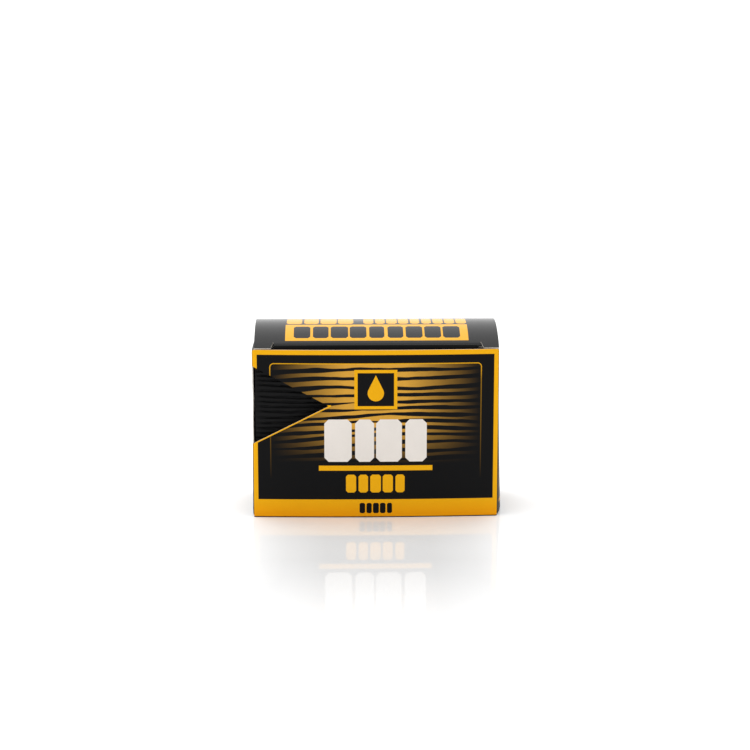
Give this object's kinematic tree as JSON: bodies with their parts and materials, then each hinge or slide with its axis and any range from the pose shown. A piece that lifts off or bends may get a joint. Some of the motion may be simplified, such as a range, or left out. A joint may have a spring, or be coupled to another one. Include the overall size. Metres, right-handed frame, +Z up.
{
  "type": "clay block in a folding carton",
  "caption": "Black and yellow tuck-end folding carton with a triangular corner window, opening lid and base flaps, holding a grooved clay detailing block on a foam grip.",
  "frame": {"origin": "centre of the resting face, under the middle of the carton", "axes": "+X along the carton's width, -Y out of the front panel with the window, +Z up; the window's corner is at -X"},
  "size_m": [0.1041, 0.0486, 0.0786],
  "materials": {
    "printed_board": "gloss laminated, black and yellow print",
    "plain_board": "gloss laminated outside, uncoated white inside",
    "foam": "matte closed-cell foam",
    "adhesive": "satin film",
    "clay_polymer": "satin grooved polymer"
  },
  "bodies": {
    "sleeve": {"front_panel": "printed_board", "back_panel": "printed_board", "left_side_panel": "printed_board", "right_side_panel": "printed_board", "glue_flap": "plain_board"},
    "lid": {"lid_panel": "printed_board"},
    "lid_tuck": {"lid_tuck_flap": "plain_board"},
    "top_dust_left": {"top_dust_flap_left": "plain_board"},
    "top_dust_right": {"top_dust_flap_right": "plain_board"},
    "base": {"base_panel": "plain_board"},
    "base_tuck": {"base_tuck_flap": "plain_board"},
    "base_dust_left": {"base_dust_flap_left": "plain_board"},
    "base_dust_right": {"base_dust_flap_right": "plain_board"},
    "block": {"foam_body": "foam", "bond_layer": "adhesive", "clay_pad": "clay_polymer"}
  },
  "joints": [
    {"name": "lid_hinge", "type": "hinge", "parent": "sleeve", "child": "lid", "pos_m": [0, 0.022, 0.0695], "axis": [-1, 0, 0], "range_deg": [0, 135]},
    {"name": "lid_tuck_fold", "type": "hinge", "parent": "lid", "child": "lid_tuck", "pos_m": [0, -0.0204, 0.07097], "axis": [-1, 0, 0], "range_deg": [0, 45]},
    {"name": "top_dust_fold_left", "type": "hinge", "parent": "sleeve", "child": "top_dust_left", "pos_m": [-0.0503, 0, 0.0685], "axis": [0, -1, 0], "range_deg": [0, 90]},
    {"name": "top_dust_fold_right", "type": "hinge", "parent": "sleeve", "child": "top_dust_right", "pos_m": [0.0505, 0, 0.0685], "axis": [0, 1, 0], "range_deg": [0, 90]},
    {"name": "base_hinge", "type": "hinge", "parent": "sleeve", "child": "base", "pos_m": [0, -0.0235, 0.00045], "axis": [-1, 0, 0], "range_deg": [0, 120]},
    {"name": "base_tuck_fold", "type": "hinge", "parent": "base", "child": "base_tuck", "pos_m": [0, 0.0212, 0.00045], "axis": [-1, 0, 0], "range_deg": [0, 45]},
    {"name": "base_dust_fold_left", "type": "hinge", "parent": "sleeve", "child": "base_dust_left", "pos_m": [-0.0511, 0, 0.001], "axis": [0, 1, 0], "range_deg": [0, 90]},
    {"name": "base_dust_fold_right", "type": "hinge", "parent": "sleeve", "child": "base_dust_right", "pos_m": [0.053, 0, 0.001], "axis": [0, -1, 0], "range_deg": [0, 90]},
    {"name": "block_slide", "type": "slide", "parent": "sleeve", "child": "block", "axis": [0, 0, 1], "range_m": [0, 0.0017]}
  ],
  "couplings": [
    {"joint": "lid_tuck_fold", "follows": "lid_hinge", "ratio": 0.3},
    {"joint": "top_dust_fold_left", "follows": "lid_hinge", "ratio": 0.6},
    {"joint": "top_dust_fold_right", "follows": "lid_hinge", "ratio": 0.6},
    {"joint": "base_tuck_fold", "follows": "base_hinge", "ratio": 0.3},
    {"joint": "base_dust_fold_left", "follows": "base_hinge", "ratio": 0.6},
    {"joint": "base_dust_fold_right", "follows": "base_hinge", "ratio": 0.6}
  ]
}
